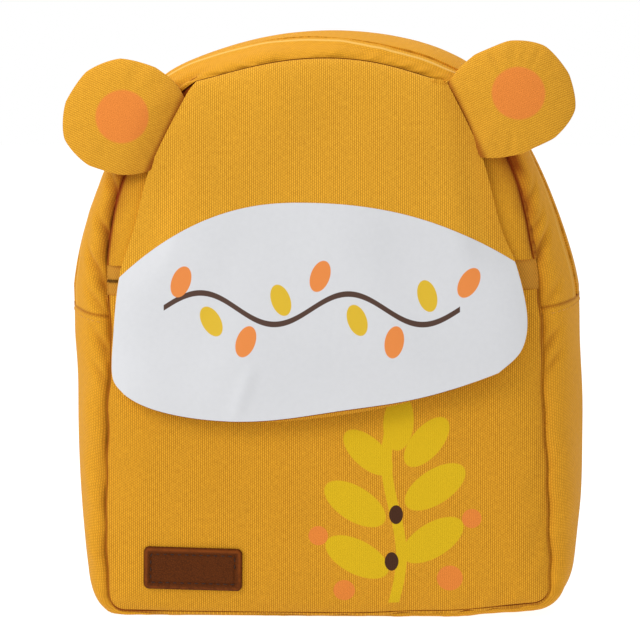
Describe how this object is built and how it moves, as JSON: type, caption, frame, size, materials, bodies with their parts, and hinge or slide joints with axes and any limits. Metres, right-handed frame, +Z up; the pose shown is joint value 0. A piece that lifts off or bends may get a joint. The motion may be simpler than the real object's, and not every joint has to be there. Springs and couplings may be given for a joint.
{
  "type": "kids backpack",
  "caption": "Child's backpack with a hollow domed body, a colour-blocked flap over a zipped front pocket, round padded ears, a leather patch and padded shoulder straps.",
  "frame": {"origin": "middle of the flat base that the bag stands on", "axes": "+Z up, X across the bag with +X to the right seen from the front, -Y out of the front, +Y to the wearer's back"},
  "size_m": [0.2431, 0.1495, 0.2715],
  "materials": {
    "woven_amber": "ribbed woven cloth",
    "woven_flap": "ribbed woven cloth",
    "smooth_white": "smooth coated cloth",
    "patch_leather": "embossed grain",
    "zip_tape": "knitted tape with a nylon coil",
    "zip_metal": "antique",
    "strap_cloth": "padded woven cloth",
    "strap_webbing": "woven webbing",
    "dark_plastic": "moulded"
  },
  "bodies": {
    "root": {"gusset_lower": "woven_amber", "gusset_upper_front": "woven_amber", "gusset_upper_rear": "woven_amber", "main_zip": "zip_tape", "main_zip_slider_a": "zip_metal", "main_zip_slider_b": "zip_metal", "front_panel_lower": "woven_amber", "front_panel_upper": "woven_amber", "pocket_zip": "zip_tape", "pocket_zip_slider": "zip_metal", "back_panel": "woven_amber", "flap": "woven_flap", "flap_white_panel": "smooth_white", "ear_left": "woven_flap", "ear_right": "woven_flap", "label_patch": "patch_leather", "shoulder_strap_left": "strap_cloth", "shoulder_strap_right": "strap_cloth", "strap_webbing_left": "strap_webbing", "strap_webbing_right": "strap_webbing", "strap_adjuster_left": "dark_plastic", "strap_adjuster_right": "dark_plastic"}
  },
  "joints": []
}
